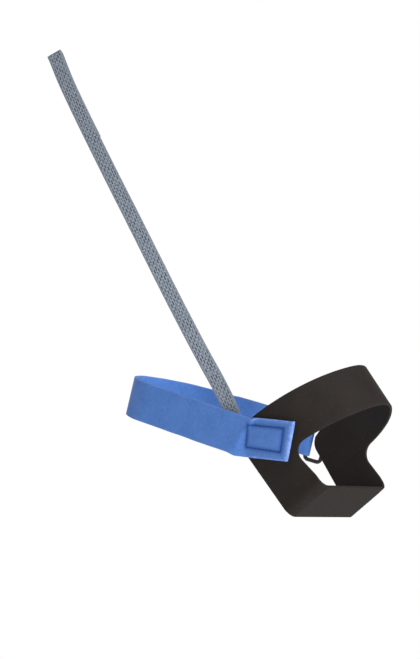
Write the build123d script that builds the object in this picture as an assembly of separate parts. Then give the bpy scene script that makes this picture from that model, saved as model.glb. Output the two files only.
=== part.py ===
from build123d import *
from math import acos, atan, atan2, cos, hypot, pi, radians, sin, tan
import os

# Heel grounder: a rubber cup round a shoe's heel, a strap over the instep and a conductive ribbon
# that runs up the leg. Millimetres. The origin is the middle of the heel seat, the upper face of
# the band under the heel. +X points to the toes, +Y to the side that carries the ribbon, +Z up.

# Rubber cup
RUBBER = 1.8              # thickness of the rubber
BAND_WIDTH = 30.5         # width of the band under the heel and of the band behind it
SOLE_HALF = 39.5          # half width over the outside at the fold under the shoe
TOP_HALF = 47.0           # half width over the outside at the top edge
TOP_HEIGHT = 61.0         # top edge above the heel seat, at the sides
BACK_END = 64.0           # rearmost point of the cup, behind the origin
BACK_RADIUS = 20.6        # tight arc round the back of the heel
SIDE_END = -5.0           # X where the straight sides give way to the long side arcs
BACK_SLOPE = 3 / 54       # the rear band hangs lower towards the back
CORNER_RADIUS = 10.0      # upper front corners of the cup
WINDOW_RADIUS = 8.0       # front corners of the openings under the rear band
FOLD_RADIUS = 7.5         # outside radius of the folds beside the sole
WALL_TAPER = 3.2          # the side walls narrow by this much from the sole up to the window

# Strap
STRAP_WIDTH = 25.0
STRAP = 1.5               # thickness of the strap
STRAP_SLOPE = 52.0        # degrees, how steeply the strap rises towards the instep
ANCHOR_X = 8.7            # where the strap leaves the cup, on both sides
ANCHOR_Z = 55.3
STRAP_HALF_GAP = 49.6     # middle of the strap to the symmetry plane, at the near anchor
FAR_HALF_GAP = 47.5       # the same at the far anchor
FRONT_RADIUS = 37.0       # middle of the strap round the front of the ankle
FRONT_REACH = 79.7        # anchor to the centre of that arc, along the strap
JOINT_GAP = 0.3           # clearance between pieces that move past each other
BEND_GAP = 0.5            # ribbon left free on each side of the line where it bends

# Sewn tab that holds the strap's near end, the ribbon's end and the resistor
TAB_SLOPE = 42.7
TAB_LENGTH = 34.0
LAYER = 1.2               # thickness of the folded-under layer
TAB_THICKNESS = 3.1
THREAD = 0.5
STITCH_MARGIN = 5.0       # stitching to the tab's free end
STITCH_INSIDE = 3.0       # stitching to the line where the strap swings

# Ribbon
RIBBON_WIDTH = 10.0
RIBBON = 0.6
RIBBON_LEAN = 6.2         # degrees that it leans back as it climbs
RIBBON_HINGE = (7.3, 43.0, 88.0)
RIBBON_RISE = 266.0       # hinge to the start of the hairpin, along the ribbon
HAIRPIN_RADIUS = 2.0
TUCK_LENGTH = 70.0

# Resistor in the tab
BARREL_RADIUS = 0.75
BARREL_LENGTH = 3.4
CAP_RADIUS = 0.85
CAP_LENGTH = 0.8
CAP_WALL = 0.15
LEAD_RADIUS = 0.25
RIBBON_LEAD_END = -2.2    # the leads' ends, and where the cup's lead drops, along the tab
CUP_LEAD_DROP = -24.5
CUP_LEAD_END = -28.6
SLEEVE_RADIUS = 1.1
SLEEVE_WALL = 0.15
SLEEVE_LENGTH = 11.0
RESISTOR_AT = -18.0       # centre of the resistor along the tab
STAPLE = 0.35

# Far side: ring, its webbing keeper and the strap's tail
BAR_RADIUS = 1.3
RING_INSIDE = 27.0
RING_PITCH = 11.6         # distance between the ring's two long bars
RING_CORNER = 2.6
KEEPER_WIDTH = 12.0
KEEPER_LENGTH = 26.0
WRAP_RADIUS = 2.2         # middle of the strap round the ring's bar
TAIL_LENGTH = 60.0
TAIL_LIFT = 0.6           # middle of the closed tail outside the line of the bar
PATCH_LENGTH = 40.0
PATCH_WIDTH = 22.0
PATCH = 1.0

# Reference planes --------------------------------------------------------------------------------

lean = atan((TOP_HALF - SOLE_HALF) / (TOP_HEIGHT + RUBBER))


def side_face(z):
    """Outside half width of the cup's flat side at height z."""
    return SOLE_HALF + (z + RUBBER) * tan(lean)


def face_plane(side, slope):
    """Plane on the outside of one side of the cup, x along a strap of that slope, z outwards."""
    along = Vector(cos(radians(slope)), side * sin(radians(slope)) * sin(lean),
                   sin(radians(slope)) * cos(lean))
    outwards = Vector(0, side * cos(lean), -sin(lean))
    return Plane(origin=(ANCHOR_X, side * side_face(ANCHOR_Z), ANCHOR_Z), x_dir=along, z_dir=outwards)


rise = radians(STRAP_SLOPE)
strap_along = Vector(cos(rise), 0, sin(rise))
strap_across = Vector(-sin(rise), 0, cos(rise))
strap_plane = Plane(origin=(ANCHOR_X, 0, ANCHOR_Z), x_dir=strap_along, z_dir=strap_across)
near_plane = face_plane(1, TAB_SLOPE)
far_plane = face_plane(-1, STRAP_SLOPE)
back_tilt = radians(RIBBON_LEAN)
ribbon_up = Vector(-sin(back_tilt), 0, cos(back_tilt))
ribbon_across = Vector(cos(back_tilt), 0, sin(back_tilt))
ribbon_plane = Plane(origin=(RIBBON_HINGE[0], 0, RIBBON_HINGE[2]), x_dir=ribbon_up,
                     z_dir=-ribbon_across)


# Helpers -----------------------------------------------------------------------------------------

def plate(plane, x0, x1, width, w0, w1, centre_y=0.0):
    """Flat piece on a plane, from x0 to x1, between heights w0 and w1 above it."""
    shape = Pos((x0 + x1) / 2, centre_y, w0) * Box(x1 - x0, width, w1 - w0,
                                                   align=(Align.CENTER, Align.CENTER, Align.MIN))
    return plane * shape


def stitch_frame(plane, x0, x1, width, w0, w1):
    """Closed rectangle of thread lying on a surface."""
    outer = Box(x1 - x0, width, w1 - w0, align=(Align.CENTER, Align.CENTER, Align.MIN))
    inner = Box(x1 - x0 - 2 * THREAD, width - 2 * THREAD, w1 - w0,
                align=(Align.CENTER, Align.CENTER, Align.MIN))
    return plane * Pos((x0 + x1) / 2, 0, w0) * (outer - inner)


def ribbon_sweep(path, width, thickness, across):
    """Flat strip swept along a path, its width along the vector across."""
    start = path @ 0
    section = Plane(origin=start, x_dir=across, z_dir=path % 0) * Rectangle(width, thickness)
    return sweep(section, path=path)


def wire_run(plane, points, radius):
    """Round wire through points on a plane's x-z section, as straight runs with round elbows."""
    run = None
    for a, b in zip(points, points[1:]):
        start = plane.from_local_coords(Vector(*a))
        end = plane.from_local_coords(Vector(*b))
        rod = Solid.make_cylinder(radius, (end - start).length, Plane(origin=start, z_dir=end - start))
        run = rod if run is None else run + rod
    for point in points[1:-1]:
        run += Pos(*plane.from_local_coords(Vector(*point))) * Sphere(radius)
    return run


# Rubber cup --------------------------------------------------------------------------------------

def cup_outline(half_width, inset, front, height):
    """Plan of the cup at one height, as a closed face: two straight sides, two long arcs and the
    tight arc at the back, all moved inwards by inset."""
    back_centre = -BACK_END + BACK_RADIUS
    run = SIDE_END - back_centre
    side_radius = (run ** 2 + half_width ** 2 - BACK_RADIUS ** 2) / (2 * (half_width - BACK_RADIUS))
    side_centre = half_width - side_radius
    join = atan2(-side_centre, back_centre - SIDE_END)
    middle = (pi / 2 + join) / 2
    reach = side_radius - inset

    def on_side_arc(angle, side):
        return (SIDE_END + reach * cos(angle), side * (side_centre + reach * sin(angle)), height)

    edge = half_width - inset
    edges = [Line((front, edge, height), (SIDE_END, edge, height)),
             ThreePointArc((SIDE_END, edge, height), on_side_arc(middle, 1), on_side_arc(join, 1)),
             ThreePointArc(on_side_arc(join, 1), (-BACK_END + inset, 0, height), on_side_arc(join, -1)),
             ThreePointArc(on_side_arc(join, -1), on_side_arc(middle, -1), (SIDE_END, -edge, height)),
             Line((SIDE_END, -edge, height), (front, -edge, height)),
             Line((front, -edge, height), (front, edge, height))]
    return make_face(edges)


def band_top(x):
    """Height of the rear band's upper edge."""
    return TOP_HEIGHT + BACK_SLOPE * (x + 10)


def cup_body(inset, low, fold_radius):
    """The space inside the cup's outline moved inwards by inset, with its bottom edges rounded."""
    front = BAND_WIDTH / 2 + 5
    body = loft([cup_outline(side_face(z), inset, front + inset, z) for z in (low, TOP_HEIGHT + 6)])
    bottom = [edge for edge in body.edges()
              if abs(edge.center().Z - low) < 0.01 and edge.center().X < front - 1]
    return fillet(bottom, fold_radius)


def make_heel_cup():
    shell = cup_body(0, -RUBBER, FOLD_RADIUS) - cup_body(RUBBER, 0, FOLD_RADIUS - RUBBER)
    front, low, back = BAND_WIDTH / 2, -RUBBER, -BACK_END - 6
    window_x = -front + WALL_TAPER
    window_z = band_top(window_x) - BAND_WIDTH
    outline = Polyline((front, low), (front, band_top(front)), (back, band_top(back)),
                       (back, band_top(back) - BAND_WIDTH), (window_x, window_z),
                       (-front, FOLD_RADIUS), (-front, low), (front, low))
    side_view = make_face(outline)
    window_corner = side_view.vertices().sort_by_distance((window_x, window_z))[0]
    side_view = fillet(window_corner, WINDOW_RADIUS)
    top_corner = side_view.vertices().sort_by_distance((front, band_top(front)))[0]
    side_view = fillet(top_corner, CORNER_RADIUS)
    return shell & extrude(Plane.XZ * side_view, 2 * TOP_HALF, both=True)


def staple(plane, x, crown, legs, feet, half_span):
    """Small flat wire staple across the tab: crown, two legs and two feet clinched inwards."""
    width = 0.9
    shape = plate(plane, x - width / 2, x + width / 2, 2 * half_span, crown, crown + STAPLE)
    for side in (1, -1):
        leg_y = side * (half_span - STAPLE / 2)
        shape += plate(plane, x - width / 2, x + width / 2, STAPLE, feet, crown + STAPLE, leg_y)
        foot_y = side * (half_span - legs / 2)
        shape += plate(plane, x - width / 2, x + width / 2, legs, feet, feet + STAPLE, foot_y)
    return shape


# Sewn tab ----------------------------------------------------------------------------------------

def tab_outline():
    """Square free end, round front end about the point where the strap swings."""
    body = Pos(-TAB_LENGTH / 2, 0) * Rectangle(TAB_LENGTH, STRAP_WIDTH)
    body = fillet(body.vertices().group_by(Axis.X)[0], 1.5)
    return body + Circle(STRAP_WIDTH / 2)


def ribbon_root_path():
    """Middle of the ribbon from under the tab, over the cup's edge and behind the strap, to its
    hinge."""
    up = near_plane.z_dir
    level = LAYER + 0.25 + RIBBON / 2
    points = [Vector(10.3, side_face(46), 46) + up * level,
              Vector(9.8, side_face(56), 56) + up * level,
              Vector(9.4, side_face(61.5), 61.5) + up,
              Vector(9.0, 46.2, 67.5),
              Vector(8.3, 44.2, 77),
              Vector(*RIBBON_HINGE) - ribbon_up * BEND_GAP]
    return FilletPolyline(*points, radius=6)


def make_tab():
    """Folded-under layer on the cup, and the outer layer with room for what lies between them."""
    sleeve_room = plate(near_plane, RESISTOR_AT - 7, RESISTOR_AT + 6.5, 2.6, -0.5, TAB_THICKNESS - 0.6)
    lead_room = plate(near_plane, -30, 0, 2.9, -0.5, 2.5)
    inner = plate(near_plane, -TAB_LENGTH, -STITCH_INSIDE, STRAP_WIDTH, 0, LAYER)
    outer = near_plane * Pos(0, 0, LAYER) * extrude(tab_outline(), TAB_THICKNESS - LAYER)
    ribbon_line = near_plane.to_local_coords(Vector(9.4, side_face(61.5), 61.5))
    ribbon_line -= near_plane.to_local_coords(Vector(10.3, side_face(46), 46))
    slot_plane = Plane(origin=Vector(10.3, side_face(46), 46), z_dir=near_plane.z_dir,
                       x_dir=near_plane.x_dir * ribbon_line.X + near_plane.y_dir * ribbon_line.Y)
    slot = plate(slot_plane, -1, 30, RIBBON_WIDTH + 1, -0.5, LAYER + RIBBON + 0.5)
    return inner - lead_room, outer - slot - sleeve_room - lead_room


# Resistor and its connections --------------------------------------------------------------------

def make_resistor():
    """Barrel, two end caps, two leads and the shrink sleeve, lying along the tab."""
    level = LAYER
    near_end = RESISTOR_AT + BARREL_LENGTH / 2
    far_end = RESISTOR_AT - BARREL_LENGTH / 2

    def along_tab(x0, x1, radius):
        start = near_plane.from_local_coords(Vector(x0, 0, level))
        return Solid.make_cylinder(radius, x1 - x0, Plane(origin=start, z_dir=near_plane.x_dir))

    barrel = along_tab(far_end, near_end, BARREL_RADIUS)
    near_cap = along_tab(near_end - CAP_LENGTH, near_end + CAP_WALL, CAP_RADIUS) - barrel
    far_cap = along_tab(far_end - CAP_WALL, far_end + CAP_LENGTH, CAP_RADIUS) - barrel
    ribbon_lead = wire_run(near_plane, [(near_end + CAP_WALL, 0, level),
                                        (RIBBON_LEAD_END, 0, level)], LEAD_RADIUS)
    cup_lead = wire_run(near_plane, [(far_end - CAP_WALL, 0, level), (CUP_LEAD_DROP, 0, level),
                                     (CUP_LEAD_DROP - 1, 0, LEAD_RADIUS),
                                     (CUP_LEAD_END, 0, LEAD_RADIUS)], LEAD_RADIUS)
    sleeve_start = RESISTOR_AT - SLEEVE_LENGTH / 2
    sleeve = along_tab(sleeve_start, sleeve_start + SLEEVE_LENGTH, SLEEVE_RADIUS)
    sleeve -= along_tab(sleeve_start - 1, sleeve_start + SLEEVE_LENGTH + 1, SLEEVE_RADIUS - SLEEVE_WALL)
    return barrel, near_cap + far_cap, ribbon_lead, cup_lead, sleeve


# Strap, ring and keeper --------------------------------------------------------------------------

def tangent_point(half_gap):
    """Where a straight run that starts half_gap from the symmetry plane meets the front arc."""
    reach = hypot(FRONT_REACH, half_gap)
    angle = atan2(half_gap, -FRONT_REACH) - acos(FRONT_RADIUS / reach)
    return FRONT_REACH + FRONT_RADIUS * cos(angle), FRONT_RADIUS * sin(angle)


near_tangent = tangent_point(STRAP_HALF_GAP)
far_tangent = tangent_point(FAR_HALF_GAP)
run_length = hypot(far_tangent[0], FAR_HALF_GAP - far_tangent[1])
run_x = far_tangent[0] / run_length
run_y = (FAR_HALF_GAP - far_tangent[1]) / run_length


def far_run(along, outside):
    """Point on the far side: distance along the strap from the ring's lower bar towards the
    instep, and distance outside the line of the two bars, in the strap's plane."""
    middle = outside + WRAP_RADIUS
    return (along * run_x + middle * run_y, -FAR_HALF_GAP + along * run_y - middle * run_x)


def in_strap_plane(*points):
    return [strap_plane.from_local_coords(Vector(*point, 0)) for point in points]


bar_middle = in_strap_plane(far_run(RING_PITCH, 0))[0]
lower_bar = in_strap_plane(far_run(0, 0))[0]
run_along = (bar_middle - lower_bar).normalized()
run_out = run_along.cross(strap_across) * -1
if run_out.Y > 0:
    run_out = run_out * -1


def make_instep_strap():
    near_start = (0, STRAP_HALF_GAP)
    front = (FRONT_REACH + FRONT_RADIUS, 0)
    far_start = (far_tangent[0], -far_tangent[1])
    path = Line(*in_strap_plane(near_start, near_tangent))
    path += ThreePointArc(*in_strap_plane(near_tangent, front, far_start))
    inside = far_run(RING_PITCH, -WRAP_RADIUS)
    path += Line(*in_strap_plane(far_start, inside))
    path += ThreePointArc(*in_strap_plane(inside, far_run(RING_PITCH - WRAP_RADIUS, 0),
                                          far_run(RING_PITCH, WRAP_RADIUS)))
    print("strap along its middle, ring to tab", round(path.length, 1))
    strap = ribbon_sweep(path, STRAP_WIDTH, STRAP, strap_across)
    swing = Pos(ANCHOR_X, STRAP_HALF_GAP, ANCHOR_Z) * Rot(90, 0, 0)
    return strap - swing * Cylinder(STRAP_WIDTH / 2 + JOINT_GAP, 12)


def make_ring():
    half_long = (RING_INSIDE + 2 * BAR_RADIUS) / 2
    ring_plane = Plane(origin=lower_bar + run_along * RING_PITCH / 2, x_dir=run_along, z_dir=run_out)
    loop = RectangleRounded(RING_PITCH, 2 * half_long, RING_CORNER).wire()
    loop = ring_plane * loop
    section = Plane(origin=loop @ 0, z_dir=loop % 0) * Circle(BAR_RADIUS)
    return sweep(section, path=loop)


def make_keeper():
    """Webbing folded round the ring's lower bar, both ends flat on the cup."""
    height = far_plane.to_local_coords(lower_bar)
    eye_long, eye_high = 2.9, 2.1
    top = 2 * (eye_high + LAYER)
    eye = SlotCenterPoint((height.X, 0), (height.X + eye_long - eye_high, 0), 2 * eye_high)
    outside = SlotCenterPoint((height.X, 0), (height.X + eye_long - eye_high, 0), top)
    flat = Pos(-KEEPER_LENGTH / 2, -top / 2 + LAYER) * Rectangle(KEEPER_LENGTH, 2 * LAYER)
    ramp = make_face(Polyline((0, -top / 2), (0, top / 2), (-9, -top / 2 + 2 * LAYER),
                              (-9, -top / 2), (0, -top / 2)))
    profile = outside + flat + ramp - eye
    section = Plane(origin=far_plane.origin + far_plane.z_dir * top / 2, x_dir=far_plane.x_dir,
                    z_dir=far_plane.x_dir.cross(far_plane.z_dir))
    return extrude(section * profile, KEEPER_WIDTH / 2, both=True)


def make_tail():
    """Free end of the strap, from just past the ring to its rounded tip."""
    start = RING_PITCH + 3.4
    bend = RING_PITCH + 12
    angle = (WRAP_RADIUS - TAIL_LIFT) / (bend - RING_PITCH)
    lift = WRAP_RADIUS - angle * (start - RING_PITCH)
    path = FilletPolyline(*in_strap_plane(far_run(start, lift), far_run(bend, TAIL_LIFT),
                                          far_run(start + TAIL_LENGTH, TAIL_LIFT)), radius=20)
    tail = ribbon_sweep(path, STRAP_WIDTH, STRAP, strap_across)
    tip = tail.edges().filter_by(lambda edge: edge.length < 2 * STRAP)
    tip = tip.sort_by_distance(bar_middle)[-2:]
    tail = fillet(tip, 6)
    patch_start = bend + 3
    patch_plane = Plane(origin=in_strap_plane(far_run(patch_start, 0))[0], x_dir=run_along,
                        z_dir=run_out)
    under = TAIL_LIFT - STRAP / 2
    patch = plate(patch_plane, 0, PATCH_LENGTH, PATCH_WIDTH, under - PATCH, under)
    patch = fillet(patch.edges().filter_by(Axis(patch_plane.origin, run_out)), 3)
    over = TAIL_LIFT + STRAP / 2
    stitching = stitch_frame(patch_plane, 1.5, PATCH_LENGTH - 1.5, PATCH_WIDTH - 3, over, over + 0.25)
    return tail, patch, stitching


# Ribbon ------------------------------------------------------------------------------------------

def ribbon_point(up, half_gap):
    return ribbon_plane.from_local_coords(Vector(up, half_gap, 0))


def make_ribbon():
    """Free length of the ribbon along the leg and over the hairpin, then the tucked end."""
    outside = 48.0
    contour = [(BEND_GAP, RIBBON_HINGE[1]), (45, 43.6), (125, 47.8), (205, 49.8), (250, outside),
               (RIBBON_RISE, outside)]
    points = [ribbon_point(*point) for point in contour]
    climb = FilletPolyline(*points, radius=60)
    top = RIBBON_RISE
    inside = outside - 2 * HAIRPIN_RADIUS
    turn = ThreePointArc(ribbon_point(top, outside),
                         ribbon_point(top + HAIRPIN_RADIUS, outside - HAIRPIN_RADIUS),
                         ribbon_point(top, inside))
    path = climb + turn
    tuck_start = top - 2.1
    tuck = Line(ribbon_point(tuck_start, inside), ribbon_point(tuck_start - TUCK_LENGTH, inside))
    print("ribbon, hinge to hairpin end", round(path.length, 1), "and tucked", TUCK_LENGTH)
    free = ribbon_sweep(path, RIBBON_WIDTH, RIBBON, ribbon_across)
    tucked = ribbon_sweep(tuck, RIBBON_WIDTH, RIBBON, ribbon_across)
    return free, tucked


heel_cup = make_heel_cup()
tab_inner_layer, tab_outer_layer = make_tab()
barrel, caps, ribbon_lead, cup_lead, sleeve = make_resistor()
strap_tail, hook_patch, patch_stitching = make_tail()
conductive_ribbon, tucked_end = make_ribbon()
stitched = KEEPER_LENGTH - 11

parts = {
    "heel_cup": heel_cup,
    "tab_inner_layer": tab_inner_layer,
    "tab_outer_layer": tab_outer_layer,
    "tab_box_stitching": stitch_frame(near_plane, -TAB_LENGTH + STITCH_MARGIN, -STITCH_INSIDE, 15,
                                      TAB_THICKNESS, TAB_THICKNESS + 0.25),
    "resistor_barrel": barrel,
    "resistor_end_caps": caps,
    "resistor_ribbon_lead": ribbon_lead,
    "resistor_cup_lead": cup_lead,
    "resistor_sleeve": sleeve,
    "ribbon_staple": staple(near_plane, -3.2, 2.1, 0.9, 0.55, 1.35),
    "cup_staple": staple(near_plane, -27.2, 0.5, 0.9, -RUBBER - STAPLE, 1.35),
    "ribbon_root": ribbon_sweep(ribbon_root_path(), RIBBON_WIDTH, RIBBON, ribbon_across),
    "ring_keeper": make_keeper(),
    "keeper_stitching": stitch_frame(far_plane, -KEEPER_LENGTH + 2, -10, KEEPER_WIDTH - 3,
                                     2 * LAYER, 2 * LAYER + 0.25),
    "strap_ring": make_ring(),
    "instep_strap": make_instep_strap(),
    "strap_tail": strap_tail,
    "hook_patch": hook_patch,
    "patch_stitching": patch_stitching,
    "conductive_ribbon": conductive_ribbon,
    "ribbon_tucked_end": tucked_end,
}

os.makedirs("parts", exist_ok=True)
for name, shape in parts.items():
    export_step(shape, f"parts/{name}.step")
    print(name, round(shape.volume, 1), len(shape.solids()))
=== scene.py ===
import bpy
import bmesh
from math import acos, atan, atan2, cos, exp, floor, hypot, pi, radians, sin, sqrt, tan
from mathutils import Matrix, Vector, noise
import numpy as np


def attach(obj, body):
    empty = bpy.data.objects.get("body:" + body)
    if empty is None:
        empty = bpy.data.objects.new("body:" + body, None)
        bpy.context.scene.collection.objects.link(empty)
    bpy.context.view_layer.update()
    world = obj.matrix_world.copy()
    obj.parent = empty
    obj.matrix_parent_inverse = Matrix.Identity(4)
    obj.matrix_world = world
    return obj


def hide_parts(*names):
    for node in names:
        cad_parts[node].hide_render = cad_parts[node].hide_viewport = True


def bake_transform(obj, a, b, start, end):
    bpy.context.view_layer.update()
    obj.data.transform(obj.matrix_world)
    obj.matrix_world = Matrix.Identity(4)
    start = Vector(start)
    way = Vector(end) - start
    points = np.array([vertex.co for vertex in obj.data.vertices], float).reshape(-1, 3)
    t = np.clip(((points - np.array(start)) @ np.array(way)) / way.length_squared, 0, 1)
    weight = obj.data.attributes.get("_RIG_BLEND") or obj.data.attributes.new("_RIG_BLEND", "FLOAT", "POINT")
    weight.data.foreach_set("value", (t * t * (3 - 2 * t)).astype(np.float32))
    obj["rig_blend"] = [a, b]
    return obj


# Heel grounder: rubber heel cup, blue strap with its ring, and the conductive ribbon up the leg.
# Shapes are worked out in millimetres in the model's own frame and stored in metres.

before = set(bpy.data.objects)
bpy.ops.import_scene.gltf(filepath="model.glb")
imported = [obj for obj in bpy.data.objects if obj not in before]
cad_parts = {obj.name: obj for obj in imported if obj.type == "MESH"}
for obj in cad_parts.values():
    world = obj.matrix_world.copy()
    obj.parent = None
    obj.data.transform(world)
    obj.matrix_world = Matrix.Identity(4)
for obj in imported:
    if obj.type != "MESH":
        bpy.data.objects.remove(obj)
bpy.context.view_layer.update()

MM = 0.001
WELD = 0.02               # corners closer than this are joined

# Studio: name, place in metres, size in metres and power in watts of each lamp
SOFT_LIGHT = 0.55         # strength of the light from all round
FLOOR_HEIGHT = -0.75
LAMPS = (("key", (-1.6, 0.35, 0.5), 1.1, 12),
         ("fill", (1.7, 0.9, 0.8), 1.2, 6),
         ("under", (-0.4, 0.2, -0.68), 0.9, 19),
         ("rim", (0.9, -1.5, 0.9), 1.2, 6))

# Rubber cup
RUBBER = 1.8
BAND_WIDTH = 30.5
SOLE_HALF = 39.5
TOP_HALF = 47.0
TOP_HEIGHT = 61.0
BACK_END = 64.0
BACK_RADIUS = 20.6
SIDE_END = -5.0
BACK_SLOPE = 3 / 54
CORNER_RADIUS = 10.0
WINDOW_RADIUS = 8.0
FOLD_RADIUS = 7.5
WALL_TAPER = 3.2          # the side walls narrow by this much from the sole up to the window

# Strap and tab
STRAP_WIDTH = 25.0
STRAP = 1.5
STRAP_SLOPE = 52.0
ANCHOR = Vector((8.7, 0, 55.3))
NEAR_GAP = 49.6
FAR_GAP = 47.5
FRONT_RADIUS = 37.0
FRONT_REACH = 79.7
TAB_SLOPE = 42.7
INNER_LEVEL = 0.6         # middle of the folded-under layer above the rubber
OUTER_LEVEL = 2.45        # middle of the outer layer above the rubber
LAYER = 1.2               # the cloth is pressed to this thickness in the tab
FOLD_AT = -32.1           # where the cloth turns under, along the tab
FOLD_SKEW = 0.15          # the turned end is a little out of square
KINK_SKEW = -0.53         # the strap leaves the tab along a slanting crease
KINK_HALF = 2.4           # half of the length over which it creases
UNDER_START = -3.5        # cut end of the folded-under layer, along the tab
BOX = [(-3.1, 7.9), (-28.4, 7.7), (-26.9, -7.2), (-2.6, -6.2)]   # corners of the box stitching

# Ring side
RING_PITCH = 11.6
WRAP_RADIUS = 2.2
WRAP_TURN = radians(160)  # the strap goes this far round the bar before the tail piece takes over
TAIL_LIFT = 0.6
TAIL_END = 75.0
TIP_RADIUS = 6.0
KEEPER_WIDTH = 12.0
KEEPER_LENGTH = 26.0
KEEPER_FLAT = -10.0       # the keeper's upper layer lies flat from here to its end
PATCH_AT = RING_PITCH + 15.0
PATCH_LENGTH = 40.0
PATCH_WIDTH = 22.0
PATCH_BACKING = 0.4
PATCH_CORNER = 3.0
HOOK_PITCH = 1.35
HOOK_HALF = 0.11          # half thickness of a hook
HOOK_STALK = 0.26
HOOK_REACH = 0.3          # radius of a hook's bend
STITCH_PITCH = 2.6

# Ribbon
RIBBON_WIDTH = 10.0
RIBBON = 0.6
RIBBON_LEAN = 6.2
RIBBON_TWIST = 19.0       # it faces backwards by this many degrees where it lies on the ankle
HINGE = Vector((7.3, 43, 88))
RIBBON_RISE = 266.0
HAIRPIN_RADIUS = 2.0

lean = atan((TOP_HALF - SOLE_HALF) / (TOP_HEIGHT + RUBBER))
out_y = Vector((0, 1, 0))


def side_face(z):
    """Outside half width of the cup's flat side at height z."""
    return SOLE_HALF + (z + RUBBER) * tan(lean)


def face_axes(side, slope):
    """Origin, lengthwise, upward and outward directions on one side of the cup."""
    turn = radians(slope)
    along = Vector((cos(turn), side * sin(turn) * sin(lean), sin(turn) * cos(lean)))
    out = Vector((0, side * cos(lean), -sin(lean)))
    up = along.cross(out) * side
    return Vector((ANCHOR.x, side * side_face(ANCHOR.z), ANCHOR.z)), along, up, out


rise = radians(STRAP_SLOPE)
strap_along = Vector((cos(rise), 0, sin(rise)))
strap_up = Vector((-sin(rise), 0, cos(rise)))
tab_origin, tab_along, tab_up, tab_out = face_axes(1, TAB_SLOPE)
far_origin, far_along, far_up, far_out = face_axes(-1, STRAP_SLOPE)
back_tilt = radians(RIBBON_LEAN)
ribbon_up = Vector((-sin(back_tilt), 0, cos(back_tilt)))
ribbon_across = Vector((cos(back_tilt), 0, sin(back_tilt)))


def ease(t):
    """0 before 0, 1 after 1 and a smooth step between."""
    t = min(max(t, 0.0), 1.0)
    return t * t * (3 - 2 * t)


def spread(start, end, count):
    """count evenly spaced values after start, up to end."""
    return [start + (end - start) * (i + 1) / count for i in range(count)]


# Mesh helpers ------------------------------------------------------------------------------------

def lay_grid(work, columns, rows, place, flat, marks=None):
    """A grid of faces in work. place(i, j) is a corner's point and flat(i, j) its place on the flat
    cloth, both in millimetres. marks gives named values, such as how near a seam is."""
    flat_layer = work.loops.layers.uv.verify()
    marks = marks or {}
    for name in marks:
        work.verts.layers.float.new(name)
    mark_layers = {name: work.verts.layers.float[name] for name in marks}
    made = bmesh.ops.create_grid(work, x_segments=columns, y_segments=rows, size=0.5)["verts"]
    for corner in made:
        i = round((corner.co.x + 0.5) * columns)
        j = round((corner.co.y + 0.5) * rows)
        corner.co = place(i, j) * MM
        for name, layer in mark_layers.items():
            corner[layer] = marks[name](i, j)
        for loop in corner.link_loops:
            loop[flat_layer].uv = Vector(flat(i, j)) * MM
    return made


def face_out(work, direction, key):
    """Turns the mesh so that its face furthest along key looks along direction."""
    bmesh.ops.recalc_face_normals(work, faces=work.faces)
    furthest = max(work.faces, key=lambda face: key(face.calc_center_median()))
    if furthest.normal.dot(direction) < 0:
        bmesh.ops.reverse_faces(work, faces=work.faces)


def finish_piece(name, work, finish, body=None):
    """The piece made in work, smooth, with its material, riding on its body."""
    mesh = bpy.data.meshes.new(name)
    work.to_mesh(mesh)
    work.free()
    mesh.polygons.foreach_set("use_smooth", [True] * len(mesh.polygons))
    piece = bpy.data.objects.new(name, mesh)
    bpy.context.scene.collection.objects.link(piece)
    mesh.materials.append(finish)
    if body:
        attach(piece, body)
    return piece


def give_thickness(piece, thickness, offset=0.0, group=None, least=1.0):
    """A wall of that many millimetres, down to its share least where the group's weight is 0."""
    wall = piece.modifiers.new("thickness", "SOLIDIFY")
    wall.thickness = thickness * MM
    wall.offset = offset
    wall.use_even_offset = True
    if group:
        wall.vertex_group = group
        wall.thickness_vertex_group = least


def round_edges(piece, width, segments):
    """Edges turning by more than 50 degrees get a rounding of that many millimetres."""
    edge = piece.modifiers.new("rounded edges", "BEVEL")
    edge.width = width * MM
    edge.segments = segments
    edge.limit_method = "ANGLE"
    edge.angle_limit = radians(50)


def weigh(piece, group, weight_of):
    """A vertex group whose weight at each vertex is weight_of(index)."""
    made = piece.vertex_groups.new(name=group)
    for vertex in piece.data.vertices:
        made.add([vertex.index], weight_of(vertex), "REPLACE")


# Material helpers --------------------------------------------------------------------------------

def node(tree, kind, inputs=None, **settings):
    """A shader node with its settings, and its inputs either linked or set."""
    made = tree.nodes.new("ShaderNode" + kind)
    for key, value in settings.items():
        setattr(made, key, value)
    for key, value in (inputs or {}).items():
        if isinstance(value, bpy.types.NodeSocket):
            tree.links.new(value, made.inputs[key])
        else:
            made.inputs[key].default_value = value
    return made


def calc(tree, operation, a, b=0.0):
    return node(tree, "Math", {0: a, 1: b}, operation=operation).outputs[0]


def ripple(tree, place, pitch):
    """Sine wave of that many metres a turn."""
    return calc(tree, "SINE", calc(tree, "MULTIPLY", place, 2 * pi / pitch))


def blend_colours(tree, factor, a, b):
    return node(tree, "Mix", {0: factor, 6: a, 7: b}, data_type="RGBA").outputs[2]


def fibre(tree, vector, scale, detail=3.0, rough=0.5):
    """Value of a noise at that many repeats a metre."""
    inputs = {"Vector": vector, "Scale": scale, "Detail": detail, "Roughness": rough}
    return node(tree, "TexNoise", inputs).outputs["Fac"]


def fit(tree, value, low, high, to_low=0.0, to_high=1.0, smooth=False):
    """value, going from low to high, made to go from to_low to to_high and held there."""
    how = "SMOOTHSTEP" if smooth else "LINEAR"
    inputs = {0: value, 1: low, 2: high, 3: to_low, 4: to_high}
    return node(tree, "MapRange", inputs, interpolation_type=how).outputs[0]


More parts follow.
